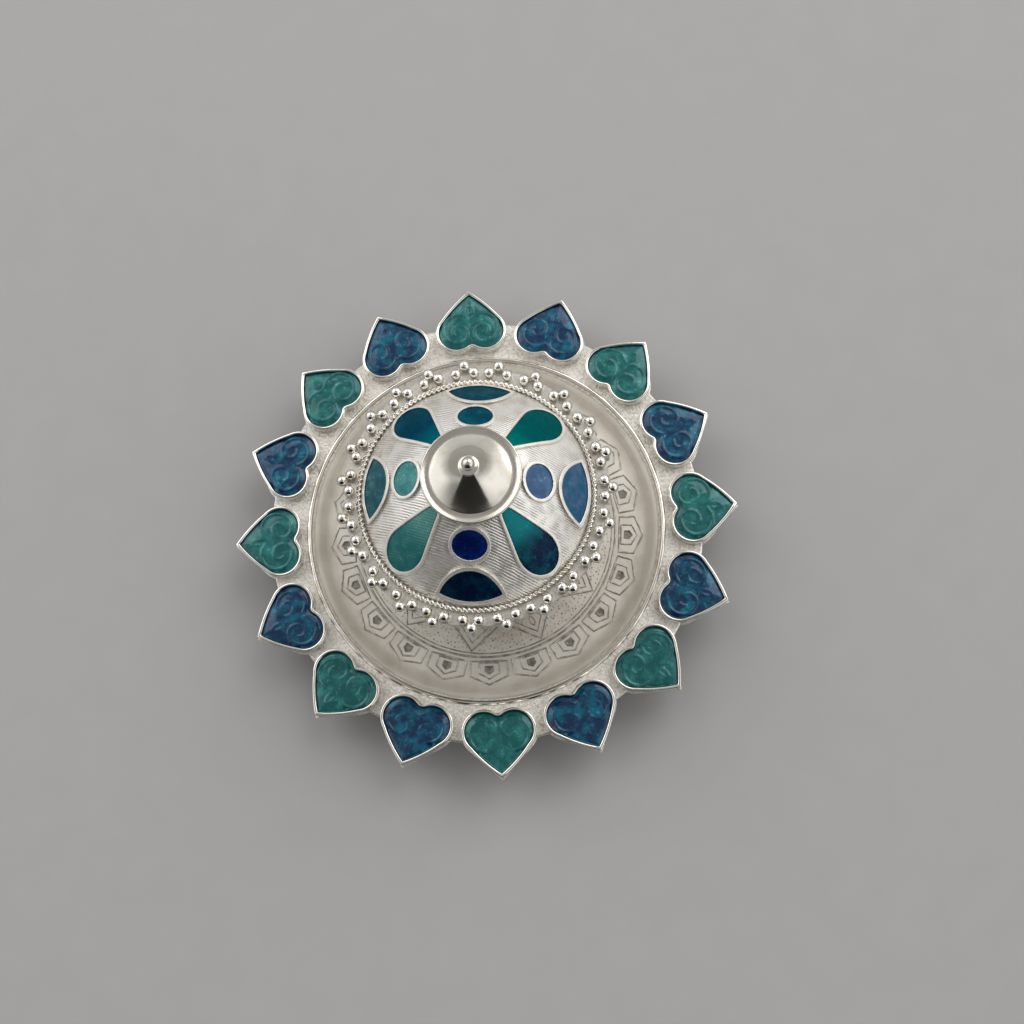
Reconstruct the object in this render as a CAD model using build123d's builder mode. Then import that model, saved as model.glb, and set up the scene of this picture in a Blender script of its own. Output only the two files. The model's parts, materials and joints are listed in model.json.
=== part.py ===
from build123d import *

import os
from math import acos, asin, atan2, cos, degrees, hypot, pi, radians, sin, sqrt

os.makedirs("parts", exist_ok=True)

# A silver kumkum box: a lidded bowl screwed to a footed tray with a border of enamelled hearts.
# Millimetres, +Z up, origin on the resting plane under the middle of the tray.
# A profile is drawn in the XZ plane as radius and height, and turned about Z.

# Tray
tray_sheet = 0.8
tray_foot_inset = 4.6
tray_foot_width = 1.4
tray_foot_edge = 0.4
edge_share_limit = 0.4
well_depth = 2.0
well_wall_run = 2.2
well_bend_inside = 1.6
rim_wire_width = 0.8
rim_wire_inset = 0.4
border_reach = 1.6

# Hearts on the tray border
heart_count = 16
first_heart_angle = -90.0
heart_width = 10.2
heart_length = 9.1
heart_notch = 1.1
heart_notch_round = 0.4
heart_gap = 1.25
heart_to_rim = 0.65
heart_wall = 0.45
heart_wall_height = 1.6
heart_enamel_height = 1.3
petal_lip = 0.15

# Bowl, its foot and the fastener that holds them on the tray
bowl_inner_radius = 15.55
bowl_wall = 0.8
bowl_bend_radius = 9.6
bowl_height = 18.0
bowl_foot_height = 1.2
bowl_foot_spread = 2.95
bowl_foot_edge = 0.4
bowl_foot_hollow_share = 0.33
screw_diameter = 2.5
screw_head_diameter = 4.8
screw_head_height = 1.4
screw_head_round = 0.9
head_round_limit = 0.9
screw_slot_width = 0.6
screw_slot_depth = 0.6
screw_end = 0.3
screw_to_table = 0.7
screw_hole_clearance = 0.1
thread_clearance = 0.03
nut_across_flats = 5.0
nut_height = 2.0
washer_diameter = 6.0
washer_thickness = 0.4

# Lid shell
lid_sheet = 0.7
brim_margin = 0.8
dome_step = 0.15
dome_run = 10.3
dome_base_slope = 52.0
dome_top_slope = 32.0
collar_clearance = 0.15
collar_wall = 0.7
collar_depth = 2.4
collar_top_gap = 0.15
lid_turn = -6.2

# Twisted wire and grains on the lid's brim
wire_diameter = 0.85
wire_gap = 0.04
bead_diameter = 1.65
bead_space = 0.75
bead_gap = 0.06
bead_to_wire = 0.15
bead_flat_depth = 0.17

# Enamel cells on the lid, each measured in plan
cell_count = 4
cell_wall = 0.45
cell_wall_height = 0.5
cell_enamel_height = 0.3
cell_gap = 0.3
lens_inset = 0.75
lens_reach = 3.55
lens_inner_arc = 5.2
lens_outer_arc = 10.0
round_cell_width = 4.9
round_cell_reach = 3.6
fan_inset = 0.8
fan_outer_round = 2.8
fan_inner_round = 0.9
fan_inner_offset = 1.25

# Finial
finial_neck_inset = 0.45
finial_neck_height = 0.6
finial_overhang = 0.75
finial_disc_height = 0.55
finial_disc_round = 0.2
finial_disc_step = 1.3
finial_cone_height = 3.6
finial_cone_hollow = 0.3
finial_collar_radius = 1.5
finial_collar_height = 0.35
finial_ball_radius = 0.95
finial_ball_sink = 0.25

# Heart outline: two lobes that meet in a rounded notch, and straight flanks to the tip
heart_lobe_radius = heart_width / 2 + heart_notch - sqrt(heart_width * heart_notch)
heart_lobe_side = heart_width / 2 - heart_lobe_radius
heart_reach = heart_length - heart_lobe_radius
heart_tip_distance = hypot(heart_reach, heart_lobe_side)
heart_flank = acos(heart_lobe_radius / heart_tip_distance) - atan2(heart_lobe_side, heart_reach)

# The hearts stand side by side in a ring, which sets the radii of the tray
half_step = pi / heart_count
heart_half_room = heart_lobe_radius + heart_wall + heart_gap / 2
heart_lobe_ring = (heart_half_room + heart_lobe_side * cos(half_step)) / sin(half_step)
border_radius = heart_lobe_ring + border_reach
hearts_inner_radius = heart_lobe_ring - heart_lobe_radius - heart_wall
rim_wire_radius = hearts_inner_radius - heart_to_rim - rim_wire_width / 2
well_mouth_radius = rim_wire_radius - rim_wire_width / 2 - rim_wire_inset
well_floor_radius = well_mouth_radius - well_wall_run
tray_foot_radius = well_floor_radius - tray_foot_inset

# Heights from the table up
tray_foot_height = screw_to_table + screw_end + nut_height + washer_thickness
floor_top = tray_foot_height + tray_sheet
border_top = floor_top + well_depth
bowl_bottom = floor_top + bowl_foot_height
bowl_floor = bowl_bottom + bowl_wall
seat = bowl_bottom + bowl_height
brim_top = seat + lid_sheet

# Radii of the bowl and the pieces that fit it
screw_radius = screw_diameter / 2
hole_radius = screw_radius + screw_hole_clearance
bowl_outer_radius = bowl_inner_radius + bowl_wall
bowl_flat_radius = bowl_outer_radius - bowl_bend_radius
bowl_foot_radius = bowl_flat_radius + bowl_foot_spread
collar_radius = bowl_inner_radius - collar_clearance

# The dome's outline is one arc, which its run and the slopes at its two ends fix
dome_base_radius = bowl_outer_radius + dome_step
dome_top_radius = dome_base_radius - dome_run
dome_arc_radius = dome_run / (sin(radians(dome_base_slope)) - sin(radians(dome_top_slope)))
dome_start = 90 - dome_base_slope
dome_sweep = dome_base_slope - dome_top_slope
dome_centre_r = dome_base_radius - dome_arc_radius * sin(radians(dome_base_slope))
dome_centre_z = brim_top - dome_arc_radius * cos(radians(dome_base_slope))
dome_centre = (dome_centre_r, dome_centre_z)
dome_top = dome_centre_z + dome_arc_radius * cos(radians(dome_top_slope))
dome_inside_top = dome_top - lid_sheet
dome_inner_arc = dome_arc_radius - lid_sheet

# Wire and grains, outwards from the foot of the dome
wire_radius = wire_diameter / 2
wire_height = wire_radius + wire_gap
wire_lean = (1 - cos(radians(dome_base_slope))) / sin(radians(dome_base_slope))
wire_ring_radius = dome_base_radius + wire_height * wire_lean
bead_radius = bead_diameter / 2
bead_ring_radius = wire_ring_radius + wire_radius + bead_to_wire + bead_radius
bead_pair_count = int(pi * bead_ring_radius / (bead_diameter + bead_space))
lid_brim_radius = bead_ring_radius + brim_margin

# Cells, inwards from the foot of the dome
lens_outer_radius = dome_base_radius - lens_inset
lens_inner_radius = lens_outer_radius - lens_reach
round_cell_radius = lens_inner_radius - 2 * cell_wall - cell_gap - round_cell_reach / 2
fan_outer_radius = dome_base_radius - fan_inset - fan_outer_round
fan_inner_radius = dome_top_radius + fan_inner_offset

# Finial radii, which follow the top of the dome
finial_neck_radius = dome_top_radius - finial_neck_inset
finial_disc_radius = dome_top_radius + finial_overhang
finial_cone_radius = finial_disc_radius - finial_disc_step


def save(piece, name):
    """Label a finished piece and write it to its own file."""
    piece.part.label = name
    export_step(piece.part, f"parts/{name}.step")


def outward_plane(angle, height):
    """A level plane at a height, with its local X pointing outwards at an angle in degrees."""
    return Plane.XY.offset(height).rotated((0, 0, angle))


def inside_dome_radius(height):
    """Radius of the dome's inner face at a height."""
    return dome_centre_r + sqrt(dome_inner_arc**2 - (height - dome_centre_z) ** 2)


def inside_dome_height(radius):
    """Height of the dome's inner face at a radius."""
    return dome_centre_z + sqrt(dome_inner_arc**2 - (radius - dome_centre_r) ** 2)


def heart(grow):
    """A heart on local X with its tip outwards, grown evenly by an amount."""
    lobe = heart_lobe_radius + grow
    tip = heart_lobe_ring + heart_reach + grow / cos(heart_flank)
    notch = pi + asin(heart_lobe_side / lobe)
    with BuildSketch() as outline:
        with BuildLine():
            centre = (heart_lobe_ring, heart_lobe_side)
            side = CenterArc(centre, lobe, degrees(heart_flank), degrees(notch - heart_flank))
            Line(side @ 0, (tip, 0))
            mirror(about=Plane.XZ)
        make_face()
        notch_round = heart_notch_round + heart_wall + petal_lip - grow
        fillet(outline.vertices().sort_by(Axis.X)[0], radius=notch_round)
    return outline.sketch


def round_cell(grow):
    """A round cell on the dome, drawn in plan, so it is shortened along the slope."""
    with BuildSketch() as outline:
        with Locations((round_cell_radius, 0)):
            Ellipse(round_cell_reach / 2 + grow, round_cell_width / 2 + grow)
    return outline.sketch


def lens_cell(grow):
    """A pointed lens above the foot of the dome, between two arcs."""
    with BuildSketch() as outline:
        with Locations((lens_outer_radius - lens_outer_arc, 0)):
            Circle(lens_outer_arc + grow)
        with Locations((lens_inner_radius + lens_inner_arc, 0)):
            Circle(lens_inner_arc + grow, mode=Mode.INTERSECT)
    return outline.sketch


def fan_cell(grow):
    """A drop that is narrow under the finial and round at its outer end."""
    with BuildSketch() as outline:
        with Locations((fan_outer_radius, 0)):
            Circle(fan_outer_round + grow)
        with Locations((fan_inner_radius, 0)):
            Circle(fan_inner_round + grow)
        make_hull()
    return outline.sketch


def cell_frame(cell):
    """The outline of a cell's wire wall."""
    with BuildSketch() as outline:
        add(cell(cell_wall))
        add(cell(0), mode=Mode.SUBTRACT)
    return outline.sketch


def on_dome(outline, angles, height):
    """Pieces of an even layer on the dome, cut to an outline at each angle."""
    with BuildPart() as piece:
        with BuildSketch(Plane.XZ):
            with BuildLine():
                under = CenterArc(dome_centre, dome_arc_radius, dome_start, dome_sweep)
                over = CenterArc(dome_centre, dome_arc_radius + height, dome_start, dome_sweep)
                Line(under @ 0, over @ 0)
                Line(under @ 1, over @ 1)
            make_face()
        revolve(axis=Axis.Z)
        for angle in angles:
            with BuildSketch(outward_plane(angle, seat)):
                add(outline)
        extrude(amount=dome_top + cell_wall_height - seat, mode=Mode.INTERSECT)
    return piece


def washer(top):
    """A flat washer on the screw's axis, under a face at a height."""
    with BuildPart() as piece:
        with BuildSketch(Plane.XY.offset(top - washer_thickness)):
            Circle(washer_diameter / 2)
            Circle(hole_radius, mode=Mode.SUBTRACT)
        extrude(amount=washer_thickness)
    return piece


def nut(top):
    """A hexagonal nut on the screw's axis, under a face at a height."""
    with BuildPart() as piece:
        with BuildSketch(Plane.XY.offset(top - nut_height)):
            RegularPolygon(nut_across_flats / 2, 6, major_radius=False)
            Circle(screw_radius + thread_clearance, mode=Mode.SUBTRACT)
        extrude(amount=nut_height)
    return piece


# Tray plate: one spun sheet with a sunk well and a border cut to the hearts
with BuildPart() as tray_plate:
    with BuildSketch(Plane.XZ):
        with BuildLine():
            FilletPolyline(
                (hole_radius, floor_top),
                (well_floor_radius, floor_top),
                (well_mouth_radius, border_top),
                (border_radius, border_top),
                radius=well_bend_inside + tray_sheet,
            )
            offset(amount=tray_sheet, side=Side.RIGHT)
        make_face()
    revolve(axis=Axis.Z)
    with BuildSketch(Plane.XY.offset(border_top - tray_sheet)):
        with PolarLocations(0, heart_count, start_angle=first_heart_angle):
            add(heart(heart_wall + petal_lip))
    extrude(amount=tray_sheet)
save(tray_plate, "tray_plate")

# Foot ring under the well, which the whole object stands on
with BuildPart() as tray_foot_ring:
    with BuildSketch():
        Circle(tray_foot_radius)
        Circle(tray_foot_radius - tray_foot_width, mode=Mode.SUBTRACT)
    extrude(amount=tray_foot_height)
    foot_edge = min(tray_foot_edge, edge_share_limit * tray_foot_width)
    fillet(tray_foot_ring.faces().sort_by(Axis.Z)[0].edges(), radius=foot_edge)
save(tray_foot_ring, "tray_foot_ring")

# Half-round wire along the mouth of the well
with BuildPart() as well_rim_wire:
    with BuildSketch(Plane.XZ):
        with Locations((rim_wire_radius, border_top)):
            Circle(rim_wire_width / 2)
            Rectangle(rim_wire_width, rim_wire_width, align=(Align.CENTER, Align.MAX), mode=Mode.SUBTRACT)
    revolve(axis=Axis.Z)
save(well_rim_wire, "well_rim_wire")

# Heart cells: one upright wall round each heart, and enamel poured inside it
heart_angles = [first_heart_angle + 360 / heart_count * index for index in range(heart_count)]

with BuildPart() as heart_cell_walls:
    with BuildSketch(Plane.XY.offset(border_top)):
        with PolarLocations(0, heart_count, start_angle=first_heart_angle):
            add(heart(heart_wall))
            add(heart(0), mode=Mode.SUBTRACT)
    extrude(amount=heart_wall_height)
save(heart_cell_walls, "heart_cell_walls")

for number, angle in enumerate(heart_angles, start=1):
    with BuildPart() as heart_enamel:
        with BuildSketch(outward_plane(angle, border_top)):
            add(heart(0))
        extrude(amount=heart_enamel_height)
    save(heart_enamel, f"heart_enamel_{number:02d}")

# Bowl that holds the powder
with BuildPart() as bowl:
    with BuildSketch(Plane.XZ):
        bend_centre = (bowl_flat_radius, bowl_bottom + bowl_bend_radius)
        with BuildLine():
            outer_bend = CenterArc(bend_centre, bowl_bend_radius, -90, 90)
            inner_bend = CenterArc(bend_centre, bowl_bend_radius - bowl_wall, -90, 90)
            Polyline(outer_bend @ 1, (bowl_outer_radius, seat), (bowl_inner_radius, seat), inner_bend @ 1)
            Polyline(inner_bend @ 0, (hole_radius, bowl_floor), (hole_radius, bowl_bottom), outer_bend @ 0)
        make_face()
    revolve(axis=Axis.Z)
save(bowl, "bowl")

# Spreading foot between the bowl and the tray
with BuildPart() as bowl_foot:
    with BuildSketch(Plane.XZ):
        with BuildLine():
            Polyline(
                (bowl_flat_radius, bowl_bottom),
                (hole_radius, bowl_bottom),
                (hole_radius, floor_top),
                (bowl_foot_radius, floor_top),
                (bowl_foot_radius, floor_top + bowl_foot_edge),
            )
            flare_rise = bowl_foot_height - bowl_foot_edge
            SagittaArc(
                (bowl_foot_radius, floor_top + bowl_foot_edge),
                (bowl_flat_radius, bowl_bottom),
                bowl_foot_hollow_share * flare_rise,
            )
        make_face()
    revolve(axis=Axis.Z)
save(bowl_foot, "bowl_foot")

# Screw through the bowl, its foot and the tray, with a washer and nut under the tray
screw_tip = tray_foot_height - washer_thickness - nut_height - screw_end
head_top = bowl_floor + screw_head_height
with BuildPart() as bowl_screw:
    with BuildSketch(Plane.XY.offset(screw_tip)):
        Circle(screw_radius)
    extrude(amount=bowl_floor - screw_tip)
    with BuildSketch(Plane.XY.offset(bowl_floor)):
        Circle(screw_head_diameter / 2)
    extrude(amount=screw_head_height)
    head_round = min(screw_head_round, head_round_limit * screw_head_height)
    fillet(bowl_screw.faces().sort_by(Axis.Z)[-1].edges(), radius=head_round)
    with BuildSketch(Plane.XY.offset(head_top)):
        Rectangle(screw_head_diameter, screw_slot_width)
    extrude(amount=-screw_slot_depth, mode=Mode.SUBTRACT)
save(bowl_screw, "bowl_screw")

bowl_washer = washer(tray_foot_height)
save(bowl_washer, "bowl_washer")

bowl_nut = nut(tray_foot_height - washer_thickness)
save(bowl_nut, "bowl_nut")

# Lid shell: a flat brim that rests on the bowl, and a dome with a hole for the finial
with BuildPart() as lid_dome:
    with BuildSketch(Plane.XZ):
        inner_top = (inside_dome_radius(dome_inside_top), dome_inside_top)
        inner_foot = (collar_radius, inside_dome_height(collar_radius))
        with BuildLine():
            outer = CenterArc(dome_centre, dome_arc_radius, dome_start, dome_sweep)
            inner = RadiusArc(inner_foot, inner_top, -dome_inner_arc)
            Polyline(outer @ 1, (hole_radius, dome_top), (hole_radius, dome_inside_top), inner @ 1)
            Polyline(
                inner @ 0,
                (collar_radius, seat),
                (lid_brim_radius, seat),
                (lid_brim_radius, brim_top),
                outer @ 0,
            )
        make_face()
    revolve(axis=Axis.Z)
save(lid_dome, "lid_dome")

# Collar inside the lid that keeps it on the bowl
with BuildPart() as lid_collar:
    with BuildSketch(Plane.XY.offset(seat - collar_depth)):
        Circle(collar_radius)
        Circle(collar_radius - collar_wall, mode=Mode.SUBTRACT)
    extrude(amount=collar_depth + inside_dome_height(collar_radius) - seat - collar_top_gap)
save(lid_collar, "lid_collar")

# Wire round the foot of the dome, resting on the brim and close to the dome's slope
with BuildPart() as twisted_wire:
    with BuildSketch(Plane.XZ):
        with Locations((wire_ring_radius, brim_top + wire_height)):
            Circle(wire_radius)
    revolve(axis=Axis.Z)
save(twisted_wire, "twisted_wire")

# Grains on the brim: a full ring, and an outer ring with one grain behind every second gap
bead_height = brim_top + bead_radius - bead_flat_depth
inner_bead_count = 2 * bead_pair_count
half_pitch = pi / inner_bead_count
outer_bead_radius = bead_ring_radius * cos(half_pitch) + sqrt(
    (bead_diameter + bead_gap) ** 2 - (bead_ring_radius * sin(half_pitch)) ** 2
)
bead_rings = {
    "inner_beads": (bead_ring_radius, inner_bead_count, lid_turn),
    "outer_beads": (outer_bead_radius, bead_pair_count, lid_turn + degrees(half_pitch)),
}
for name, (ring_radius, count, start) in bead_rings.items():
    with BuildPart(Plane.XY.offset(bead_height)) as beads:
        with PolarLocations(ring_radius, count, start_angle=start):
            Sphere(bead_radius)
        split(bisect_by=Plane.XY.offset(brim_top), keep=Keep.TOP)
    save(beads, name)

# Enamel cells on the dome: round and lens cells on four arms, with fans between the arms
arm_angles = [lid_turn + 360 / cell_count * index for index in range(cell_count)]
fan_angles = [angle + 180 / cell_count for angle in arm_angles]
cell_kinds = {
    "round": (round_cell, arm_angles),
    "lens": (lens_cell, arm_angles),
    "fan": (fan_cell, fan_angles),
}
for kind, (cell, angles) in cell_kinds.items():
    save(on_dome(cell_frame(cell), angles, cell_wall_height), f"{kind}_cell_walls")
    for number, angle in enumerate(angles, start=1):
        save(on_dome(cell(0), [angle], cell_enamel_height), f"{kind}_enamel_{number}")

# Finial: a turned cone with a ball tip, whose shank goes through the top of the dome
disc_bottom = dome_top + finial_neck_height
disc_top = disc_bottom + finial_disc_height
cone_top = disc_top + finial_cone_height
tip_collar_top = cone_top + finial_collar_height
ball_centre = tip_collar_top + finial_ball_radius - finial_ball_sink
shank_end = dome_inside_top - washer_thickness - nut_height - screw_end
ball_foot_radius = sqrt(finial_ball_radius**2 - (ball_centre - tip_collar_top) ** 2)
with BuildPart() as finial:
    with BuildSketch(Plane.XZ):
        with BuildLine():
            cone_foot = (finial_cone_radius, disc_top)
            cone_end = (finial_collar_radius, cone_top)
            cone = SagittaArc(cone_foot, cone_end, finial_cone_hollow)
            ball = ThreePointArc(
                (ball_foot_radius, tip_collar_top),
                (finial_ball_radius, ball_centre),
                (0, ball_centre + finial_ball_radius),
            )
            Polyline(
                ball @ 1,
                (0, shank_end),
                (screw_radius, shank_end),
                (screw_radius, dome_top),
                (finial_neck_radius, dome_top),
                (finial_neck_radius, disc_bottom),
                (finial_disc_radius, disc_bottom),
                (finial_disc_radius, disc_top),
                cone @ 0,
            )
            Polyline(cone @ 1, (finial_collar_radius, tip_collar_top), ball @ 0)
        make_face()
    revolve(axis=Axis.Z)
    disc_edges = finial.edges().filter_by(GeomType.CIRCLE).sort_by(SortBy.RADIUS)[-2:]
    fillet(disc_edges, radius=min(finial_disc_round, edge_share_limit * finial_disc_height))
save(finial, "finial")

finial_washer = washer(dome_inside_top)
save(finial_washer, "finial_washer")

finial_nut = nut(dome_inside_top - washer_thickness)
save(finial_nut, "finial_nut")
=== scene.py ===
import json
from math import acos, asin, atan2, cos, degrees, hypot, pi, radians, sin, sqrt

import bpy
from mathutils import Matrix, Vector

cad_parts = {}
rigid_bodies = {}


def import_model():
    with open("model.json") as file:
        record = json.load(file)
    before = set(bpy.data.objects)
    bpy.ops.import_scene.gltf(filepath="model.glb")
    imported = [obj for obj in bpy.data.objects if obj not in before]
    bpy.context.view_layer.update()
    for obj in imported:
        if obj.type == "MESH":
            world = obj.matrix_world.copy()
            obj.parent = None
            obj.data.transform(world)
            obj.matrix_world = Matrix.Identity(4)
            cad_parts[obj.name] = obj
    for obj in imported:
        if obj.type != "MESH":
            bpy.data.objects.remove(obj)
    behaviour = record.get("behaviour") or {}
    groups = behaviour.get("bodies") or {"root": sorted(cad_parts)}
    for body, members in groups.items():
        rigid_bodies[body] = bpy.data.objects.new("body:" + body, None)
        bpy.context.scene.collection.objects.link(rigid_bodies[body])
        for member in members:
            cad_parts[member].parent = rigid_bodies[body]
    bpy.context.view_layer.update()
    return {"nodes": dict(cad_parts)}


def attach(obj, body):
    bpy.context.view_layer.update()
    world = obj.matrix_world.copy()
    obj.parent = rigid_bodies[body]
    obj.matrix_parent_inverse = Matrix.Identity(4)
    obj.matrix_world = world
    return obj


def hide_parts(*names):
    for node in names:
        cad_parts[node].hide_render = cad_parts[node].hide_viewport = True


for leftover in list(bpy.data.objects):
    bpy.data.objects.remove(leftover)
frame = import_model()
nodes = frame["nodes"]

MM = 0.001

# Sizes shared with the solids, in millimetres and degrees
FLOOR_TOP = 4.2
BORDER_TOP = 6.2
WELL_MOUTH = 26.28
RIM_WIRE_RADIUS = 27.08
RIM_WIRE_HALF = 0.4
BORDER_EDGE = 33.03
LOBE_RING = 31.43
LOBE_RADIUS = 2.85
LOBE_SIDE = 2.25
HEART_REACH = 6.25
HEART_WALL = 0.45
HEART_WALL_HEIGHT = 1.6
NOTCH_ROUND = 1.0
HEART_BULGE = 0.22
HEART_COUNT = 16
BRIM_TOP = 24.1
DOME_BASE = 16.5
WIRE_RING = 16.727
WIRE_HEIGHT = 0.465
WIRE_DIAMETER = 0.85
GRAIN_RADIUS = 0.825
GRAIN_HEIGHT = 24.755
INNER_GRAIN_RING = 18.127
OUTER_GRAIN_RING = 19.228
GRAIN_PAIRS = 23
LID_TURN = -6.2

# Sizes of the finer detail, in millimetres and degrees
WALL_EDGE = 0.16
GLAZE_GAP = 0.02
GLAZE_DEPTH = 1.15
GLAZE_VOXEL = 0.13
CURL_WIRE = 0.5
CURL_LIFT = 1.34
ABOVE_TRAY = 12.0
SHIELDS = 21
POINTS = 11
SCROLL_WIRE = 0.22
DOT_RADIUS = 0.13
DOT_FOOT = 0.03
STRAND = 0.44
ROPE_TURNS = 70
SOLDER_HEIGHT = 0.18
GRAIN_GAP = 0.005
CELL_WALL_VOXEL = 0.075
CELL_GLAZE_VOXEL = 0.1
HATCH_SLANT = 25
HATCH_PITCH = 0.34


# Finishes

def tint(red, green, blue):
    """A colour given as on a colour card, from 0 to 255, in the light that the shaders use."""
    shares = [level / 255 for level in (red, green, blue)]
    return tuple(s / 12.92 if s <= 0.04045 else ((s + 0.055) / 1.055) ** 2.4 for s in shares) + (1.0,)


class Value:
    """A socket in a tree of nodes. Arithmetic on it adds Math nodes."""

    def __init__(self, tree, socket):
        self.tree = tree
        self.socket = socket

    def maths(self, operation, *operands):
        return self.tree.node("ShaderNodeMath", {"operation": operation}, dict(enumerate(operands)))

    def __add__(self, other):
        return self.maths("ADD", self, other)

    def __radd__(self, other):
        return self.maths("ADD", other, self)

    def __sub__(self, other):
        return self.maths("SUBTRACT", self, other)

    def __rsub__(self, other):
        return self.maths("SUBTRACT", other, self)

    def __mul__(self, other):
        return self.maths("MULTIPLY", self, other)

    def __rmul__(self, other):
        return self.maths("MULTIPLY", other, self)

    def __truediv__(self, other):
        return self.maths("DIVIDE", self, other)

    def __pow__(self, other):
        return self.maths("POWER", self, other)


class Tree:
    """A tree of shader nodes."""

    def __init__(self, tree):
        self.tree = tree

    def node(self, kind, settings, inputs, output=0):
        """Adds a node with its settings and the values or links of its sockets, and gives one output."""
        made = self.tree.nodes.new(kind)
        for name, value in settings.items():
            setattr(made, name, value)
        for name, value in inputs.items():
            if isinstance(value, Value):
                self.tree.links.new(value.socket, made.inputs[name])
            else:
                made.inputs[name].default_value = value
        return Value(self, made.outputs[output])

    def mix(self, share, first, second):
        return self.node("ShaderNodeMix", {"data_type": "RGBA"}, {0: share, 6: first, 7: second}, 2)

    def step(self, value, low, high):
        """Rises smoothly from 0 to 1 while a value goes from low to high."""
        settings = {"interpolation_type": "SMOOTHSTEP"}
        inputs = {"Value": value, "From Min": low, "From Max": high}
        return self.node("ShaderNodeMapRange", settings, inputs)

    def axes(self, vector):
        parts = self.node("ShaderNodeSeparateXYZ", {}, {0: vector}).socket.node.outputs
        return [Value(self, part) for part in parts]


class Finish(Tree):
    """One material, built around a Principled shader."""

    def __init__(self, name):
        self.material = bpy.data.materials.new(name)
        self.material.use_nodes = True
        super().__init__(self.material.node_tree)
        self.shader = self.tree.nodes["Principled BSDF"]
        self.place = self.node("ShaderNodeTexCoord", {}, {}, "Object")

    def noise(self, size, detail=3.0, roughness=0.55):
        """Soft cloudy noise whose features are about a size in millimetres."""
        inputs = {"Vector": self.place, "Scale": 1 / (size * MM), "Detail": detail, "Roughness": roughness}
        return self.node("ShaderNodeTexNoise", {}, inputs)

    def radius(self):
        """Distance from the object's upright axis, in millimetres."""
        x, y, _ = self.axes(self.place)
        return ((x * x + y * y) ** 0.5) / MM

    def hatching(self, pitch, wander):
        """Side by side strokes cut by hand all one way, from 0 to 1, at a pitch in millimetres."""
        x, y, _ = self.axes(self.place)
        across = (x * sin(radians(HATCH_SLANT)) + y * cos(radians(HATCH_SLANT))) / MM
        phase = across * (2 * pi / pitch) + self.noise(1.6, 2) * wander
        return phase.maths("SINE", phase) * 0.5 + 0.5

    def set(self, **values):
        for name, value in values.items():
            socket = self.shader.inputs[name.replace("_", " ").title().replace("Ior", "IOR")]
            if isinstance(value, Value):
                self.tree.links.new(value.socket, socket)
            else:
                socket.default_value = value

    def relief(self, height, depth, strength=1.0):
        """Fine surface relief from a height between 0 and 1, with its depth in millimetres."""
        inputs = {"Strength": strength, "Distance": depth * MM, "Height": height}
        self.set(normal=self.node("ShaderNodeBump", {}, inputs))


def polished_silver():
    """Bright silver with faint cloudy tarnish and fine specks."""
    finish = Finish("polished_silver")
    cloud = finish.noise(2.6, 4)
    speck = finish.noise(0.35, 2)
    colour = finish.mix(finish.step(cloud, 0.45, 0.8), tint(240, 237, 230), tint(214, 205, 190))
    finish.set(base_color=colour, metallic=1.0, roughness=0.05 + 0.12 * finish.step(cloud, 0.35, 0.85))
    finish.relief(speck, 0.008, 0.4)
    return finish.material


def worn_silver():
    """Polished silver dulled by handling."""
    finish = Finish("worn_silver")
    cloud = finish.noise(3.4, 4)
    colour = finish.mix(finish.step(cloud, 0.4, 0.75), tint(220, 216, 206), tint(200, 192, 177))
    finish.set(base_color=colour, metallic=1.0, roughness=0.13 + 0.12 * finish.step(cloud, 0.35, 0.8))
    finish.relief(finish.noise(0.9, 3), 0.02, 0.35)
    return finish.material


def matt_silver():
    """White silver left matt from soldering, for the thin cell walls."""
    finish = Finish("matt_silver")
    cloud = finish.noise(1.4, 3)
    colour = finish.mix(finish.step(cloud, 0.4, 0.75), tint(250, 247, 240), tint(230, 224, 213))
    finish.set(base_color=colour, metallic=0.7, roughness=0.32 + 0.14 * cloud)
    finish.relief(finish.noise(0.4, 2), 0.012, 0.4)
    return finish.material


def spun_silver():
    """Silver with the fine rings that turning leaves, greyer with age."""
    finish = Finish("spun_silver")
    radius = finish.radius()
    rings = (radius * 21).maths("SINE", radius * 21)
    cloud = finish.noise(5, 4)
    colour = finish.mix(finish.step(cloud, 0.4, 0.75), tint(232, 228, 221), tint(208, 202, 192))
    finish.set(base_color=colour, metallic=1.0, roughness=0.2 + 0.18 * cloud)
    finish.relief(rings * 0.5 + 0.5, 0.006, 0.6)
    return finish.material


def tray_silver():
    """The tray: satin grey in the well, frosted white and granular on the border."""
    finish = Finish("tray_silver")
    radius = finish.radius()
    border = finish.step(radius, WELL_MOUTH - 0.1, WELL_MOUTH + 0.35)
    cloud = finish.noise(4.5, 5)
    grain = finish.noise(0.42, 3, 0.7)
    fine = finish.noise(0.16, 2)
    satin = finish.mix(finish.step(cloud, 0.38, 0.72), tint(228, 222, 211), tint(210, 203, 191))
    frost = finish.mix(finish.step(grain, 0.4, 0.68), tint(238, 234, 226), tint(206, 200, 190))
    finish.set(base_color=finish.mix(border, satin, frost), metallic=0.5 + 0.35 * border)
    finish.set(roughness=(0.42 + 0.14 * cloud) * (1 - border) + (0.3 + 0.22 * fine) * border)
    rough = border * (1 - 0.85 * finish.step(radius, BORDER_EDGE - 0.25, BORDER_EDGE))
    finish.relief(grain * (0.08 + 0.92 * rough) + fine * (0.04 + 0.4 * rough), 0.24, 0.85)
    return finish.material


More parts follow.
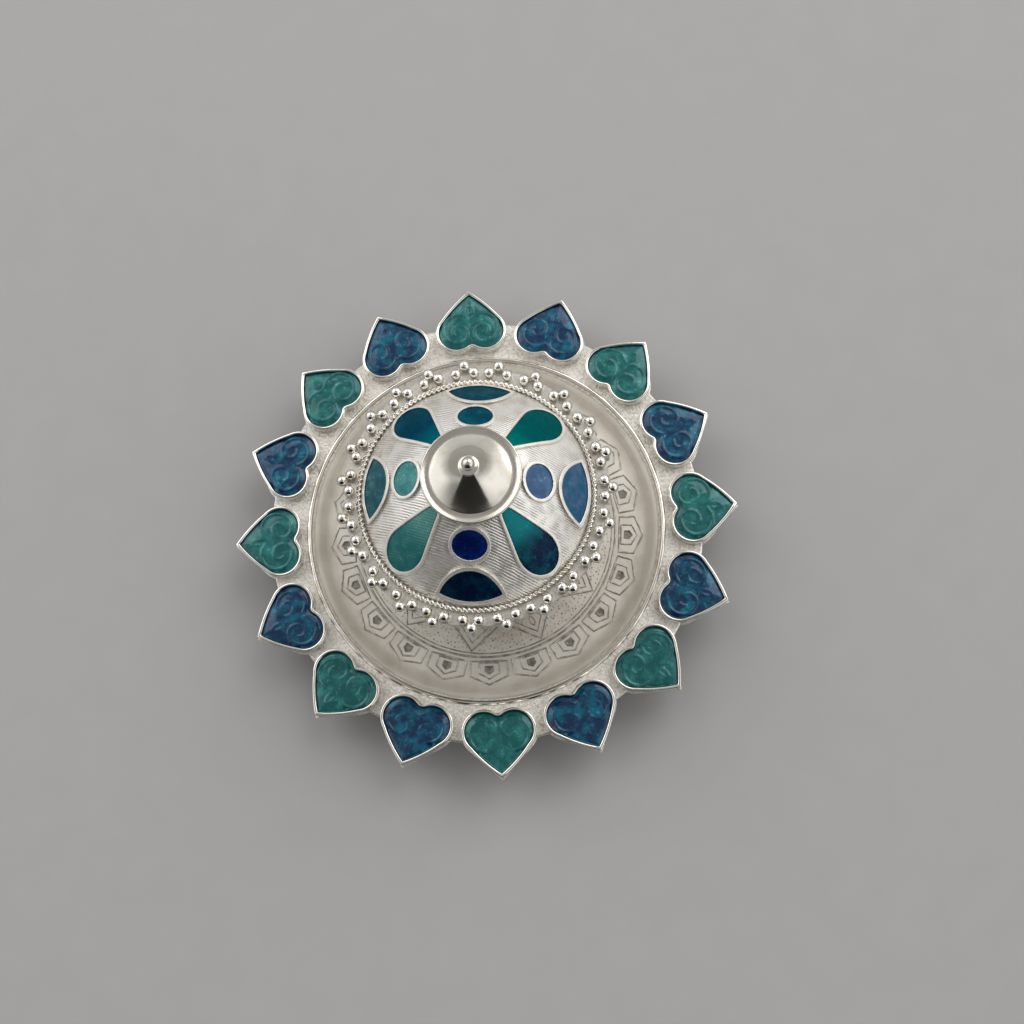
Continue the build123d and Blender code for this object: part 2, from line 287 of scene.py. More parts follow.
def engraved_silver():
    """The lid's ground: white silver with fine engraved strokes on the dome, and a greyer brim painted
    with shade between the grains.
    """
    finish = Finish("engraved_silver")
    radius = finish.radius()
    strokes = finish.hatching(HATCH_PITCH, 5)
    patch = 0.35 + 0.65 * finish.step(finish.noise(2.0, 3), 0.36, 0.62)
    dome = 1 - finish.step(radius, DOME_BASE - 0.4, DOME_BASE)
    cut = strokes * patch * dome
    grain = finish.noise(0.3, 3, 0.7)
    cloud = finish.noise(3.2, 4)
    colour = finish.mix(finish.step(cloud, 0.4, 0.75), tint(250, 248, 243), tint(224, 219, 210))
    # Greyer brim outside the dome: painted shade between the grains, on a brim also left more polished.
    colour = finish.mix(dome, tint(206, 201, 192), colour)
    finish.set(base_color=finish.mix(cut * 0.4, colour, tint(138, 127, 112)), metallic=0.95 - 0.15 * dome)
    finish.set(roughness=0.24 + 0.06 * dome + 0.14 * grain)
    finish.relief(1 - cut + grain * 0.5 * (1 - dome) + grain * 0.12, 0.07, 0.8)
    return finish.material


def shade_and_wear_silver():
    """Chased lines, rings, points and dots in the well: darker silver as painted shade of their relief,
    with lighter worn patches.
    """
    finish = Finish("shade_and_wear_silver")
    worn = finish.step(finish.noise(1.1, 4), 0.38, 0.66)
    # The darker colour is painted shade of the relief; the lighter patches are wear.
    finish.set(base_color=finish.mix(worn, tint(156, 150, 141), tint(208, 203, 195)), metallic=0.7)
    finish.set(roughness=0.36 + 0.16 * worn)
    finish.relief(finish.noise(0.2, 2), 0.03, 0.5)
    return finish.material


def punched_oxide():
    """Dark oxidation in the punched middles of the shields."""
    finish = Finish("punched_oxide")
    worn = finish.step(finish.noise(0.7, 3), 0.4, 0.68)
    finish.set(base_color=finish.mix(worn, tint(122, 117, 109), tint(160, 154, 145)), metallic=0.6)
    finish.set(roughness=0.42 + 0.16 * worn)
    finish.relief(finish.noise(0.25, 2), 0.04, 0.6)
    return finish.material


def steel():
    """Plain machined fasteners, with rings from the cutter."""
    finish = Finish("machined_steel")
    radius = finish.radius()
    rings = (radius * 40).maths("SINE", radius * 40)
    cloud = finish.noise(1.2, 3)
    finish.set(base_color=finish.mix(cloud, tint(150, 148, 146), tint(188, 186, 183)), metallic=1.0)
    finish.set(roughness=0.28 + 0.16 * cloud)
    finish.relief(rings * 0.5 + 0.5, 0.008, 0.5)
    return finish.material


def enamel(name, deep, bright, glint, gloss, strokes=0.0, fade=None):
    """Translucent enamel over worked silver: a deep colour, brighter where it lies thin, with glints."""
    finish = Finish(name)
    cloud = finish.noise(1.9, 4, 0.6)
    spark = finish.step(finish.noise(0.62, 3, 0.65), 0.57, 0.74)
    thin = finish.step(cloud, 0.4, 0.7)
    if fade:
        thick = finish.step(finish.radius(), fade[0], fade[1])
        thin = 1 - thick * (1 - 0.3 * thin)
    colour = finish.mix(thin, deep, bright)
    if strokes:
        colour = finish.mix(finish.hatching(HATCH_PITCH, 3) * thin * strokes, colour, glint)
    finish.set(base_color=finish.mix(spark * (0.28 + 0.4 * thin), colour, glint), metallic=0.25)
    finish.set(roughness=0.24 + 0.14 * cloud, specular_ior_level=0.25 * gloss)
    finish.set(coat_weight=gloss, coat_roughness=0.04, coat_ior=1.45)
    finish.relief(finish.noise(1.3, 2) + 0.25 * spark, 0.1, 0.45)
    return finish.material


# Making pieces

def pick(*pieces):
    """Selects only these pieces, the last one active."""
    bpy.ops.object.select_all(action="DESELECT")
    for piece in pieces:
        piece.select_set(True)
        bpy.context.view_layer.objects.active = piece


def draw(name, start, strokes):
    """Draws an outline from a point by straight lines and compass arcs, all in millimetres."""
    bpy.ops.object.select_all(action="DESELECT")
    here = Vector(start)
    bpy.ops.mesh.primitive_circle_add(vertices=3, radius=MM, location=here * MM)
    piece = bpy.context.object
    piece.name = name
    bpy.ops.object.transform_apply(location=True)
    bpy.ops.object.mode_set(mode="EDIT")
    bpy.ops.mesh.merge(type="CENTER")
    for stroke in strokes:
        if stroke[0] == "to":
            step = Vector(stroke[1]) - here
            bpy.ops.mesh.extrude_region_move(TRANSFORM_OT_translate={"value": step * MM})
            here = Vector(stroke[1])
        else:
            _, centre, sweep, steps, axis = stroke
            centre = Vector(centre)
            bpy.ops.mesh.spin(steps=steps, angle=-radians(sweep), center=centre * MM, axis=axis)
            here = Matrix.Rotation(radians(sweep), 3, Vector(axis)) @ (here - centre) + centre
    bpy.ops.mesh.select_all(action="SELECT")
    bpy.ops.mesh.remove_doubles(threshold=1e-6)
    bpy.ops.object.mode_set(mode="OBJECT")
    return piece


def bow(start, end, rise, axis, steps=8):
    """A shallow arc between two points, bowed to the right of its path, or left if rise is negative."""
    start, end = Vector(start), Vector(end)
    half = (end - start).length / 2
    radius = (half**2 + rise**2) / (2 * rise)
    inward = Vector(axis).cross(end - start).normalized()
    centre = (start + end) / 2 + inward * (radius - rise)
    return ("arc", tuple(centre), degrees(2 * asin(half / radius)), steps, axis)


def apply(piece, kind, **settings):
    """Adds a modifier to a piece and applies it."""
    pick(piece)
    modifier = piece.modifiers.new(kind.lower(), kind)
    for name, value in settings.items():
        setattr(modifier, name, value)
    bpy.ops.object.modifier_apply(modifier=modifier.name)


def smooth(piece, angle=35):
    """Shades a piece smooth, but for edges sharper than an angle in degrees."""
    pick(piece)
    bpy.ops.object.shade_smooth_by_angle(angle=radians(angle))


def turned(name, start, strokes, steps):
    """Turns a profile, drawn as radius and height, about the upright axis."""
    piece = draw(name, start, strokes)
    bpy.ops.object.mode_set(mode="EDIT")
    bpy.ops.mesh.select_all(action="SELECT")
    bpy.ops.mesh.spin(steps=steps, angle=2 * pi, center=(0, 0, 0), axis=(0, 0, 1))
    bpy.ops.mesh.select_all(action="SELECT")
    bpy.ops.mesh.remove_doubles(threshold=1e-6)
    bpy.ops.mesh.normals_make_consistent(inside=False)
    bpy.ops.object.mode_set(mode="OBJECT")
    smooth(piece)
    return piece


def wire(piece, thickness, rounds=2):
    """Makes a drawn line a round wire."""
    pick(piece)
    bpy.ops.object.convert(target="CURVE")
    line = bpy.context.object
    line.data.bevel_depth = thickness / 2 * MM
    line.data.bevel_resolution = rounds
    line.data.use_fill_caps = True
    bpy.ops.object.convert(target="MESH")
    made = bpy.context.object
    bpy.ops.object.mode_set(mode="EDIT")
    bpy.ops.mesh.select_all(action="SELECT")
    bpy.ops.mesh.remove_doubles(threshold=1e-7)
    bpy.ops.mesh.normals_make_consistent(inside=False)
    bpy.ops.object.mode_set(mode="OBJECT")
    smooth(made, 50)
    return made


def cut_lines(piece, cuts):
    """Divides the lines of a drawing, so that they can follow a curved surface."""
    pick(piece)
    bpy.ops.object.mode_set(mode="EDIT")
    bpy.ops.mesh.select_all(action="SELECT")
    bpy.ops.mesh.subdivide(number_cuts=cuts)
    bpy.ops.object.mode_set(mode="OBJECT")


def lay_on(piece, node):
    """Drops a drawing straight down onto a surface."""
    apply(
        piece,
        "SHRINKWRAP",
        wrap_method="PROJECT",
        target=nodes[node],
        use_project_z=True,
        use_negative_direction=True,
        use_positive_direction=False,
    )


def turn(piece, angle):
    """Turns a piece about the upright axis, in degrees, and leaves its object unturned."""
    piece.rotation_euler.z = radians(angle)
    pick(piece)
    bpy.ops.object.transform_apply(rotation=True)


def copy_at(piece, angle, name):
    """A copy with its own mesh, turned about the upright axis."""
    pick(piece)
    bpy.ops.object.duplicate(linked=False)
    other = bpy.context.object
    other.name = name
    turn(other, angle)
    return other


def ring_of(piece, angles):
    """Copies a piece to each angle, and joins the copies in place of the first."""
    name = piece.name
    copies = [copy_at(piece, angle, f"{name}_copy") for angle in angles]
    bpy.data.objects.remove(piece)
    return join(name, *copies)


def join(name, *pieces):
    """Makes one piece of several."""
    pick(*pieces)
    bpy.ops.object.join()
    made = bpy.context.object
    made.name = name
    return made


def place(piece, body, slot, material, *stands_for):
    """Gives a finished piece its finish, its body and the solids that it stands for."""
    piece.data.materials.clear()
    piece.data.materials.append(material)
    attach(piece, body)
    if stands_for:
        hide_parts(*stands_for)


def softened(node, name, voxel, rounds):
    """A copy of a solid with its edges flowed round, as fired enamel and soldered wire have."""
    pick(nodes[node])
    bpy.ops.object.duplicate(linked=False)
    piece = bpy.context.object
    piece.name = name
    for key in list(piece.keys()):
        del piece[key]
    piece.parent = None
    bpy.ops.mesh.customdata_custom_splitnormals_clear()
    bpy.ops.object.mode_set(mode="EDIT")
    bpy.ops.mesh.select_all(action="SELECT")
    bpy.ops.mesh.remove_doubles(threshold=1e-6)
    bpy.ops.object.mode_set(mode="OBJECT")
    apply(piece, "REMESH", mode="VOXEL", voxel_size=voxel * MM)
    apply(piece, "SMOOTH", factor=0.5, iterations=rounds)
    pick(piece)
    bpy.ops.object.shade_smooth()
    return piece


silver = polished_silver()
wall_finish = matt_silver()
spun = spun_silver()
tray_finish = tray_silver()
lid_finish = engraved_silver()
# Darker silver for the chased pattern in the well: painted shade of its relief, with worn patches.
pattern_shade_and_wear = shade_and_wear_silver()
dark_oxide = punched_oxide()
handled = worn_silver()
fastener = steel()
UP = (0, 0, 1)
SIDE = (0, 1, 0)

# Solids whose shape is right as it is
for node, material in {
    "tray_plate": tray_finish,
    "tray_foot_ring": spun,
    "bowl": spun,
    "bowl_foot": spun,
    "bowl_screw": fastener,
    "bowl_washer": fastener,
    "bowl_nut": fastener,
    "lid_dome": lid_finish,
    "lid_collar": spun,
    "finial_washer": fastener,
    "finial_nut": fastener,
}.items():
    nodes[node].data.materials.clear()
    nodes[node].data.materials.append(material)


# Tray border

def heart_strokes(grow, height):
    """Start and strokes of a heart with its tip outwards along X, grown evenly by an amount."""
    lobe = LOBE_RADIUS + grow
    reach = hypot(HEART_REACH, LOBE_SIDE)
    flank = degrees(acos(LOBE_RADIUS / reach) - atan2(LOBE_SIDE, HEART_REACH))
    notch = lobe + NOTCH_ROUND - grow
    dip = degrees(asin(LOBE_SIDE / notch))
    around = 180 + dip - flank
    tip = LOBE_RING + HEART_REACH + grow / cos(radians(flank))
    upper = (LOBE_RING + lobe * cos(radians(flank)), LOBE_SIDE + lobe * sin(radians(flank)), height)
    lower = (upper[0], -upper[1], height)
    return (tip, 0, height), [
        bow((tip, 0, height), upper, HEART_BULGE, UP),
        ("arc", (LOBE_RING, LOBE_SIDE, height), around, 30, UP),
        ("arc", (LOBE_RING - sqrt(notch**2 - LOBE_SIDE**2), 0, height), -2 * dip, 8, UP),
        ("arc", (LOBE_RING, -LOBE_SIDE, height), around, 30, UP),
        bow(lower, (tip, 0, height), HEART_BULGE, UP),
    ]


def heart_rim():
    """One upright heart wall with a softly rounded top."""
    outer = draw("heart_rims", *heart_strokes(HEART_WALL, BORDER_TOP))
    inner = draw("heart_rim_inside", *heart_strokes(0.0, BORDER_TOP))
    rim = join("heart_rims", inner, outer)
    bpy.ops.object.mode_set(mode="EDIT")
    bpy.ops.mesh.select_all(action="SELECT")
    bpy.ops.mesh.bridge_edge_loops()
    bpy.ops.mesh.select_all(action="SELECT")
    bpy.ops.mesh.extrude_region_move(TRANSFORM_OT_translate={"value": (0, 0, HEART_WALL_HEIGHT * MM)})
    bpy.ops.mesh.select_all(action="SELECT")
    bpy.ops.mesh.normals_make_consistent(inside=False)
    bpy.ops.object.mode_set(mode="OBJECT")
    apply(rim, "BEVEL", width=WALL_EDGE * MM, segments=3, limit_method="ANGLE", angle_limit=radians(50))
    smooth(rim, 40)
    return rim


heart_angles = [-90 + 360 / HEART_COUNT * index for index in range(HEART_COUNT)]
place(ring_of(heart_rim(), heart_angles), "tray", "silver_polished", silver, "heart_cell_walls")


def heart_glaze(name, curls):
    """One poured heart with a pillowed top and curls raised under the enamel."""
    glaze = draw(name, *heart_strokes(-GLAZE_GAP, BORDER_TOP))
    bpy.ops.object.mode_set(mode="EDIT")
    bpy.ops.mesh.select_all(action="SELECT")
    bpy.ops.mesh.edge_face_add()
    bpy.ops.mesh.extrude_region_move(TRANSFORM_OT_translate={"value": (0, 0, GLAZE_DEPTH * MM)})
    for width, rise in ((0.4, 0.18), (0.5, 0.11), (0.6, 0.06)):
        bpy.ops.mesh.inset(thickness=width * MM, depth=0)
        bpy.ops.transform.translate(value=(0, 0, rise * MM))
    bpy.ops.mesh.select_all(action="SELECT")
    bpy.ops.mesh.normals_make_consistent(inside=False)
    bpy.ops.object.mode_set(mode="OBJECT")
    height = BORDER_TOP + CURL_LIFT
    made = []
    for number, (start, strokes) in enumerate(curls):
        lifted = [(kind, (x, y, height), *rest) for kind, (x, y), *rest in strokes]
        line = draw(f"{name}_curl_{number}", (*start, height), lifted)
        made.append(wire(line, CURL_WIRE))
    glaze = join(name, *made, glaze)
    apply(glaze, "REMESH", mode="VOXEL", voxel_size=GLAZE_VOXEL * MM)
    apply(glaze, "SMOOTH", factor=0.5, iterations=4)
    pick(glaze)
    bpy.ops.object.shade_smooth()
    return glaze


def horns(start, first_centre, step, turns):
    """A pair of spirals, one in each lobe, whose arcs tighten by a step from the first centre."""
    pair = []
    for side in (1, -1):
        centre = Vector((first_centre[0], side * first_centre[1]))
        here = Vector((start[0], side * start[1]))
        strokes = []
        for sweep in turns:
            strokes.append(("arc", tuple(centre), side * sweep, 12, UP))
            out = here - centre
            bearing = atan2(out.y, out.x) + radians(side * sweep)
            here = centre + out.length * Vector((cos(bearing), sin(bearing)))
            centre = here + (centre - here) * step
        pair.append(((start[0], side * start[1]), strokes))
    return pair


# Curls under the enamel: two spirals and, towards the tip, a leaf
leaf = [
    ((35.9, 0.0), [("arc", (34.9, 0.9), -70, 6, UP)]),
    ((35.9, 0.0), [("arc", (34.9, -0.9), 70, 6, UP)]),
]
green_curls = horns((33.7, 0.3), (32.0, 2.0), 0.6, (228, 180, 140)) + leaf
blue_curls = horns((30.6, 0.25), (31.8, 2.1), 0.6, (-232, -180, -140)) + leaf
green = enamel("green_enamel", tint(6, 86, 86), tint(38, 120, 116), tint(110, 178, 168), 0.75)
blue = enamel("blue_enamel", tint(0, 42, 78), tint(0, 96, 122), tint(18, 172, 184), 0.75)
green_heart = heart_glaze("heart_glaze_green", green_curls)
blue_heart = heart_glaze("heart_glaze_blue", blue_curls)
for number, angle in enumerate(heart_angles, start=1):
    if number % 2:
        pattern, material, slot = green_heart, green, "enamel_green"
    else:
        pattern, material, slot = blue_heart, blue, "enamel_blue"
    piece = copy_at(pattern, angle, f"heart_glaze_{number:02d}")
    place(piece, "tray", slot, material, f"heart_enamel_{number:02d}")
bpy.data.objects.remove(green_heart)
bpy.data.objects.remove(blue_heart)

# Half-round wire round the mouth of the well
well_rim = turned(
    "well_rim",
    (RIM_WIRE_RADIUS + RIM_WIRE_HALF, 0, BORDER_TOP),
    [
        ("arc", (RIM_WIRE_RADIUS, 0, BORDER_TOP), -180, 12, SIDE),
        ("to", (RIM_WIRE_RADIUS + RIM_WIRE_HALF, 0, BORDER_TOP)),
    ],
    240,
)
place(well_rim, "tray", "silver_polished", silver, "well_rim_wire")


# Chased pattern in the well

def chased(name, start, points, thickness, closed=True):
    """A line of straight strokes, dropped onto the well and made a low ridge."""
    high = ABOVE_TRAY
    strokes = [("to", (x, y, high)) for x, y in points]
    if closed:
        strokes.append(("to", (*start, high)))
    line = draw(name, (*start, high), strokes)
    cut_lines(line, 3)
    lay_on(line, "tray_plate")
    return wire(line, thickness)


shield_angles = [-92.6 + 360 / SHIELDS * index for index in range(SHIELDS)]
outer_corners = [(20.45, 2.75), (22.7, 2.9), (24.1, 0.0), (22.7, -2.9)]
inner_corners = [(20.75, 1.5), (22.3, 1.55), (23.2, 0.0), (22.3, -1.55)]
shield_outer = chased("shield_outer", (20.45, -2.75), outer_corners, 0.3)
shield_inner = chased("shield_inner", (20.75, -1.5), inner_corners, 0.26)
shields = ring_of(join("well_shields", shield_outer, shield_inner), shield_angles)
place(shields, "tray", "silver_frosted", pattern_shade_and_wear)


def stud():
    """The six-sided middle of a shield, with a raised edge and a punched hollow."""
    corners = [(21.2, 0.62), (22.05, 0.68), (22.55, 0.0), (22.05, -0.68), (21.2, -0.62), (21.2, 0.62)]
    low = FLOOR_TOP - 0.03
    piece = draw("well_studs", (*corners[0], low), [("to", (*corner, low)) for corner in corners[1:]])
    bpy.ops.object.mode_set(mode="EDIT")
    bpy.ops.mesh.select_all(action="SELECT")
    bpy.ops.mesh.edge_face_add()
    bpy.ops.mesh.extrude_region_move(TRANSFORM_OT_translate={"value": (0, 0, 0.15 * MM)})
    bpy.ops.mesh.inset(thickness=0.14 * MM, depth=0)
    bpy.ops.mesh.inset(thickness=0.1 * MM, depth=0)
    bpy.ops.transform.translate(value=(0, 0, -0.09 * MM))
    bpy.ops.mesh.select_all(action="SELECT")
    bpy.ops.mesh.normals_make_consistent(inside=False)
    bpy.ops.object.mode_set(mode="OBJECT")
    apply(piece, "BEVEL", width=0.04 * MM, segments=2, limit_method="ANGLE", angle_limit=radians(30))
    smooth(piece, 40)
    return piece


place(ring_of(stud(), shield_angles), "tray", "silver_frosted", dark_oxide)

ring_lines = []
for radius, thickness in ((19.85, 0.34), (19.3, 0.22), (14.4, 0.26)):
    circle = draw(f"ring_{radius}", (radius, 0, FLOOR_TOP), [("arc", (0, 0, FLOOR_TOP), 360, 160, UP)])
    ring_lines.append(wire(circle, thickness))
place(join("well_rings", *ring_lines), "tray", "silver_frosted", pattern_shade_and_wear)

point_angles = [-100.5 + 360 / POINTS * index for index in range(POINTS)]
point_outer = chased("point_outer", (15.0, -3.5), [(19.0, 0.0), (15.0, 3.5)], 0.28, closed=False)
point_inner = chased("point_inner", (15.0, -2.4), [(17.8, 0.0), (15.0, 2.4)], 0.24, closed=False)
scrolls = []
for side in (1, -1):
    scroll_strokes = [("arc", (16.0, side * 0.62, FLOOR_TOP), side * -230, 12, UP)]
    line = draw("scroll", (16.75, 0.0, FLOOR_TOP), scroll_strokes)
    scrolls.append(wire(line, SCROLL_WIRE))
points = ring_of(join("well_points", point_outer, point_inner, *scrolls), point_angles)
place(points, "tray", "silver_frosted", pattern_shade_and_wear)


def dot():
    """One punched dot: a low round head on a flat foot, at the middle of the tray."""
    bpy.ops.object.select_all(action="DESELECT")
    bpy.ops.mesh.primitive_ico_sphere_add(subdivisions=1, radius=DOT_RADIUS * MM)
    piece = bpy.context.object
    bpy.ops.object.mode_set(mode="EDIT")
    bpy.ops.mesh.select_all(action="SELECT")
    foot = (0, 0, -DOT_FOOT * MM)
    bpy.ops.mesh.bisect(plane_co=foot, plane_no=UP, clear_inner=True, use_fill=True)
    bpy.ops.mesh.select_all(action="SELECT")
    bpy.ops.mesh.normals_make_consistent(inside=False)
    bpy.ops.object.mode_set(mode="OBJECT")
    smooth(piece, 60)
    return piece


def stipple():
    """Dots on the ground between two points, in rows that bend and waver as hand work does."""
    first_row = 15.2
    row_pitch = 0.58
    dot_pitch = 0.62
    pattern = dot()
    dots = []
    for row in range(7):
        radius = first_row + row_pitch * row
        half_room = 16.4 - 9.0 * (19.0 - radius) / 4.0
        count = int(2 * half_room * radius * pi / 180 / dot_pitch)
        for column in range(count):
            share = (column + 0.5) / count * 2 - 1
            sway = 0.9 * sin(7.3 * row + 12.9 * column)
            bearing = radians(share * half_room + sway)
            reach = radius + 0.17 * sin(5.1 * column + 3.7 * row)
            pick(pattern)
            bpy.ops.object.duplicate(linked=False)
            other = bpy.context.object
            other.location = Vector((reach * cos(bearing), reach * sin(bearing), FLOOR_TOP + 0.01)) * MM
            other.scale = (1 + 0.27 * sin(3.3 * column + row),) * 3
            dots.append(other)
    bpy.data.objects.remove(pattern)
    pick(*dots)
    bpy.ops.object.transform_apply(location=True, rotation=False, scale=True)
    return join("well_stipple", *dots)


gap_angles = [angle + 180 / POINTS for angle in point_angles]
place(ring_of(stipple(), gap_angles), "tray", "silver_frosted", pattern_shade_and_wear)


# Lid

def rope():
    """Two strands twisted together, laid round the foot of the dome."""
    strands = []
    for side in (-1, 1):
        bpy.ops.object.select_all(action="DESELECT")
        aside = side * (WIRE_DIAMETER - STRAND) / 2 * MM
        bpy.ops.mesh.primitive_circle_add(vertices=10, radius=STRAND / 2 * MM, location=(aside, 0, 0))
        bpy.ops.object.transform_apply(location=True)
        strands.append(bpy.context.object)
    piece = join("rope_wire", *strands)
    length = 2 * pi * WIRE_RING * MM
    apply(
        piece,
        "SCREW",
        axis="Z",
        angle=2 * pi,
        screw_offset=length / ROPE_TURNS,
        iterations=ROPE_TURNS,
        steps=12,
        render_steps=12,
        use_merge_vertices=False,
    )
    bpy.ops.object.select_all(action="DESELECT")
    bpy.ops.curve.primitive_nurbs_circle_add(radius=WIRE_RING * MM)
    path = bpy.context.object
    path.data.resolution_u = 64
    apply(piece, "CURVE", object=path, deform_axis="POS_Z")
    bpy.data.objects.remove(path)
    bpy.ops.object.mode_set(mode="EDIT")
    bpy.ops.mesh.select_all(action="SELECT")
    bpy.ops.mesh.remove_doubles(threshold=0.03 * MM)
    bpy.ops.mesh.normals_make_consistent(inside=False)
    bpy.ops.transform.translate(value=(0, 0, (BRIM_TOP + WIRE_HEIGHT) * MM))
    bpy.ops.object.mode_set(mode="OBJECT")
    pick(piece)
    bpy.ops.object.shade_smooth()
    return piece


place(rope(), "lid", "silver_polished", silver, "twisted_wire")


def grain(name, ring, foot):
    """One grain of silver, melted round, with a little solder drawn up round its foot."""
    bpy.ops.object.select_all(action="DESELECT")
    centre = Vector((ring, 0, GRAIN_HEIGHT)) * MM
    size = GRAIN_RADIUS * MM
    bpy.ops.mesh.primitive_uv_sphere_add(segments=24, ring_count=16, radius=size, location=centre)
    piece = bpy.context.object
    piece.name = name
    bpy.ops.object.transform_apply(location=True)
    bpy.ops.object.mode_set(mode="EDIT")
    bpy.ops.mesh.select_all(action="SELECT")
    cut = Vector((ring, 0, BRIM_TOP + SOLDER_HEIGHT)) * MM
    drop = GRAIN_GAP - SOLDER_HEIGHT
    bpy.ops.mesh.bisect(plane_co=cut, plane_no=UP, clear_inner=True)
    bpy.ops.mesh.extrude_region_move(TRANSFORM_OT_translate={"value": (0, 0, drop * MM)})
    bpy.ops.transform.resize(value=(foot, foot, 1), center_override=centre)
    bpy.ops.mesh.edge_face_add()
    bpy.ops.mesh.select_all(action="SELECT")
    bpy.ops.mesh.normals_make_consistent(inside=False)
    bpy.ops.object.mode_set(mode="OBJECT")
    smooth(piece, 60)
    return piece


pitch = 180 / GRAIN_PAIRS
inner_angles = [LID_TURN + pitch * index + 0.45 * sin(4.1 * index) for index in range(2 * GRAIN_PAIRS)]
outer_angles = [LID_TURN + pitch * (2 * pair + 0.5) + 0.5 * sin(2.7 * pair) for pair in range(GRAIN_PAIRS)]
inner_grains = ring_of(grain("inner_grains", INNER_GRAIN_RING, 1.12), inner_angles)
outer_grains = ring_of(grain("outer_grains", OUTER_GRAIN_RING, 1.0), outer_angles)
place(inner_grains, "lid", "silver_polished", silver, "inner_beads")
place(outer_grains, "lid", "silver_polished", silver, "outer_beads")

for kind in ("round", "lens", "fan"):
    rims = softened(f"{kind}_cell_walls", f"{kind}_rims", CELL_WALL_VOXEL, 2)
    place(rims, "lid", "silver_polished", wall_finish, f"{kind}_cell_walls")

# Where the enamel of the fans grows thicker, in millimetres from the axis
inner = (7, 11)
outer = (9, 12.5)
cell_enamels = {
    "round_1": enamel("round_right", tint(50, 84, 124), tint(76, 112, 142), tint(130, 160, 190), 0.4),
    "round_2": enamel("round_rear", tint(8, 66, 84), tint(14, 88, 104), tint(6, 116, 130), 0.0),
    "round_3": enamel("round_left", tint(42, 118, 120), tint(78, 150, 148), tint(150, 204, 196), 0.4),
    "round_4": enamel("round_front", tint(2, 20, 76), tint(4, 38, 108), tint(20, 84, 150), 0.3),
    "lens_1": enamel("lens_right", tint(28, 88, 120), tint(84, 100, 140), tint(40, 150, 176), 0.4, 0.06),
    "lens_2": enamel("lens_rear", tint(14, 62, 78), tint(24, 78, 94), tint(2, 108, 126), 0.0, 0.06),
    "lens_3": enamel("lens_left", tint(26, 84, 96), tint(50, 104, 114), tint(90, 160, 166), 0.3, 0.06),
    "lens_4": enamel("lens_front", tint(0, 22, 52), tint(0, 46, 70), tint(6, 92, 100), 0.3, 0.06),
    "fan_1": enamel(
        "fan_rear_right", tint(0, 82, 86), tint(0, 104, 100), tint(4, 140, 132), 0.0, 0.3, inner
    ),
    "fan_2": enamel(
        "fan_rear_left", tint(0, 58, 80), tint(0, 90, 106), tint(2, 118, 132), 0.0, 0.3, inner
    ),
    "fan_3": enamel(
        "fan_left", tint(22, 104, 106), tint(72, 134, 130), tint(140, 190, 178), 0.3, 0.3, outer
    ),
    "fan_4": enamel(
        "fan_right", tint(0, 28, 60), tint(6, 112, 118), tint(30, 150, 156), 0.15, 0.3, outer
    ),
}
for cell, material in cell_enamels.items():
    kind, number = cell.split("_")
    glaze = softened(f"{kind}_enamel_{number}", f"{kind}_glaze_{number}", CELL_GLAZE_VOXEL, 3)
    place(glaze, "lid", "enamel_lid", material, f"{kind}_enamel_{number}")

# Finial, turned and polished: a dished flange, a hollow cone, a collar and a ball
cone_top = (1.34, 0, 38.1)
cone_foot = (5.5, 0, 34.64)
dish_foot = (5.56, 0, 34.4)
dish_edge = (6.66, 0, 34.5)
finial = turned(
    "finial_turned",
    (0, 0, 40.12),
    [
        ("arc", (0, 0, 39.17), 130, 22, SIDE),
        ("to", (0.86, 0, 38.5)),
        ("to", (1.3, 0, 38.47)),
        ("arc", (1.3, 0, 38.3), 180, 8, SIDE),
        ("to", cone_top),
        bow(cone_top, cone_foot, -0.34, SIDE, 16),
        ("to", dish_foot),
        bow(dish_foot, dish_edge, -0.07, SIDE, 6),
        ("arc", (6.74, 0, 34.32), 82, 6, SIDE),
        ("to", (6.94, 0, 34.15)),
        ("arc", (6.76, 0, 34.16), 85, 5, SIDE),
        ("to", (5.76, 0, 33.98)),
        ("to", (5.75, 0, 33.4)),
        ("to", (1.25, 0, 33.38)),
        ("to", (1.25, 0, 29.98)),
        ("to", (0, 0, 29.98)),
    ],
    160,
)
place(finial, "lid", "silver_polished", handled, "finial")


# Floor, light and camera

bpy.ops.object.select_all(action="DESELECT")
bpy.ops.mesh.primitive_circle_add(vertices=96, radius=1.6, fill_type="NGON", location=(0, 0, -0.0001))
floor = bpy.context.object
floor.name = "floor"
cloth = Finish("pale_floor")
weave = cloth.noise(6, 2)
cloth.set(base_color=cloth.mix(weave, tint(166, 165, 163), tint(171, 170, 168)), roughness=0.85)
floor.data.materials.append(cloth.material)


def studio():
    """A soft room: brightest to the sides, darker in front and straight overhead."""
    world = bpy.data.worlds.new("studio")
    bpy.context.scene.world = world
    world.use_nodes = True
    room = Tree(world.node_tree)
    x, y, z = room.axes(room.node("ShaderNodeTexCoord", {}, {}, "Generated"))
    sides = room.step(x.maths("ABSOLUTE", x), 0.3, 0.85)
    front = room.step(0.9 * y + 0.43 * x, -0.25, -0.8)
    overhead = room.step(z, 0.72, 0.95)
    above = (0.55 + 0.38 * sides) * (1 - 0.75 * front) * (1 - 0.5 * overhead)
    horizon = 1 - room.step(z, 0.04, 0.26)
    level = above * (1 - horizon) + 0.46 * horizon
    background = world.node_tree.nodes["Background"]
    world.node_tree.links.new(level.socket, background.inputs["Color"])
    background.inputs["Strength"].default_value = 1.32


studio()


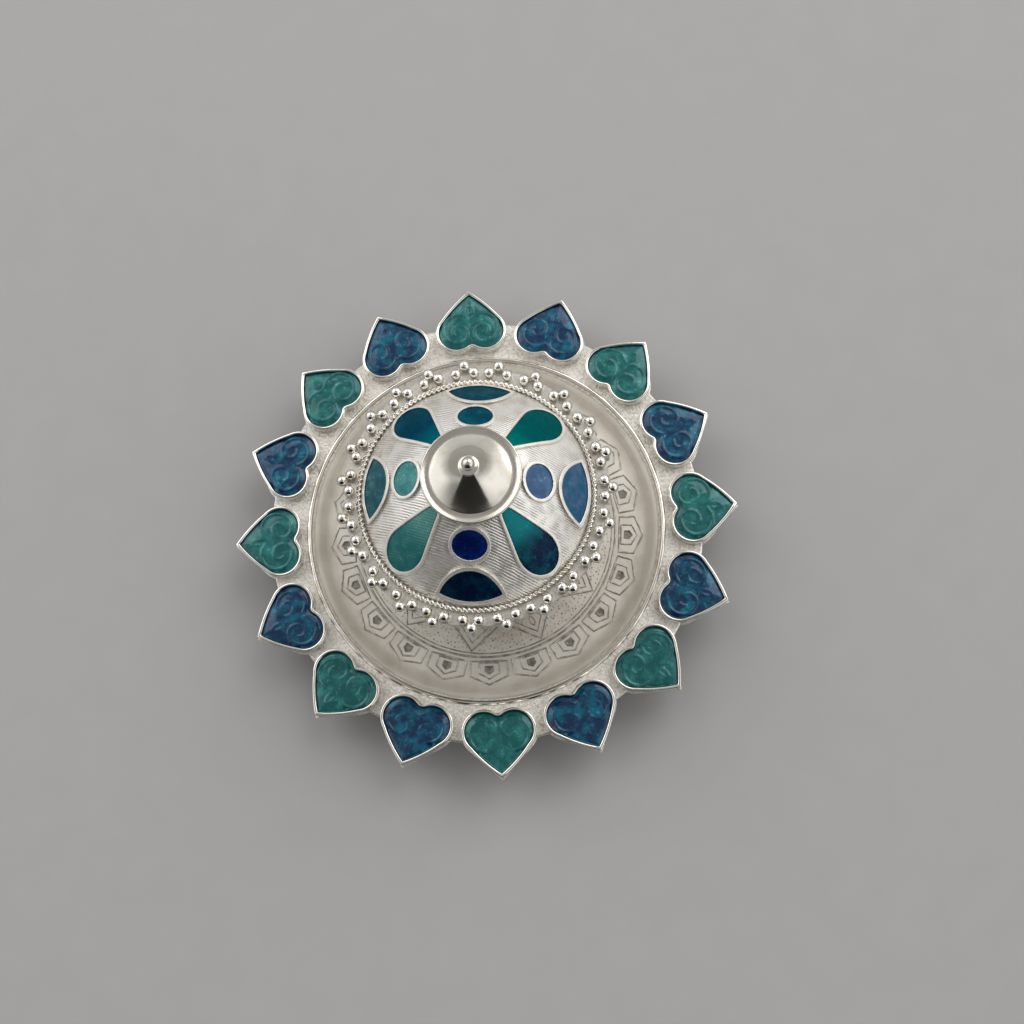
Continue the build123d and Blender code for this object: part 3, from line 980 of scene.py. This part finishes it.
def softbox(name, place_at, size, power):
    """A large soft lamp aimed at the object."""
    bpy.ops.object.select_all(action="DESELECT")
    bpy.ops.object.light_add(type="AREA", location=place_at)
    lamp = bpy.context.object
    lamp.name = name
    lamp.data.shape = "DISK"
    lamp.data.size = size
    lamp.data.energy = power
    lamp.rotation_euler = (Vector((0, 0, 0.01)) - Vector(place_at)).to_track_quat("-Z", "Y").to_euler()


softbox("key_softbox", (0.27, 0.3, 0.46), 0.46, 0.98)
softbox("fill_softbox", (-0.3, 0.3, 0.46), 0.46, 0.66)

# A dark screen in front of the object, for the polished parts to mirror
bpy.ops.object.select_all(action="DESELECT")
bpy.ops.mesh.primitive_plane_add(size=1, location=(-0.085, -0.29, 0.25), rotation=(radians(90), 0, 0))
screen = bpy.context.object
screen.name = "dark_screen"
screen.scale = (0.56, 0.5, 1)
bpy.ops.object.transform_apply(location=False, rotation=True, scale=True)
screen.visible_camera = False
screen.visible_diffuse = False
screen.visible_shadow = False
felt = Finish("dark_felt")
felt.set(base_color=felt.mix(felt.noise(8, 2), tint(14, 14, 13), tint(22, 21, 20)), roughness=0.9)
screen.data.materials.append(felt.material)

bpy.ops.object.camera_add()
camera = bpy.context.object
camera.name = "camera"
bpy.context.scene.camera = camera
picture, focal_length, sensor = 1024, 1500, 36
centre_across, centre_down = 484.1, 522.5
aim = Vector((0, 0, 0.0086))
distance = 0.2271
elevation = radians(74.8)
azimuth = radians(10.99)
roll = radians(-15.37)
back = Vector((cos(elevation) * sin(azimuth), -cos(elevation) * cos(azimuth), sin(elevation)))
level = Vector((cos(azimuth), sin(azimuth), 0))
upward = back.cross(level)
right = cos(roll) * level + sin(roll) * upward
top = -sin(roll) * level + cos(roll) * upward
facing = Matrix((right, top, back)).transposed().to_4x4()
camera.matrix_world = Matrix.Translation(aim + distance * back) @ facing
camera.data.lens = focal_length * sensor / picture
camera.data.shift_x = (picture / 2 - centre_across) / picture
camera.data.shift_y = (centre_down - picture / 2) / picture
camera.data.clip_start = 0.001
camera.data.clip_end = 20

bpy.context.scene.view_settings.view_transform = "Standard"
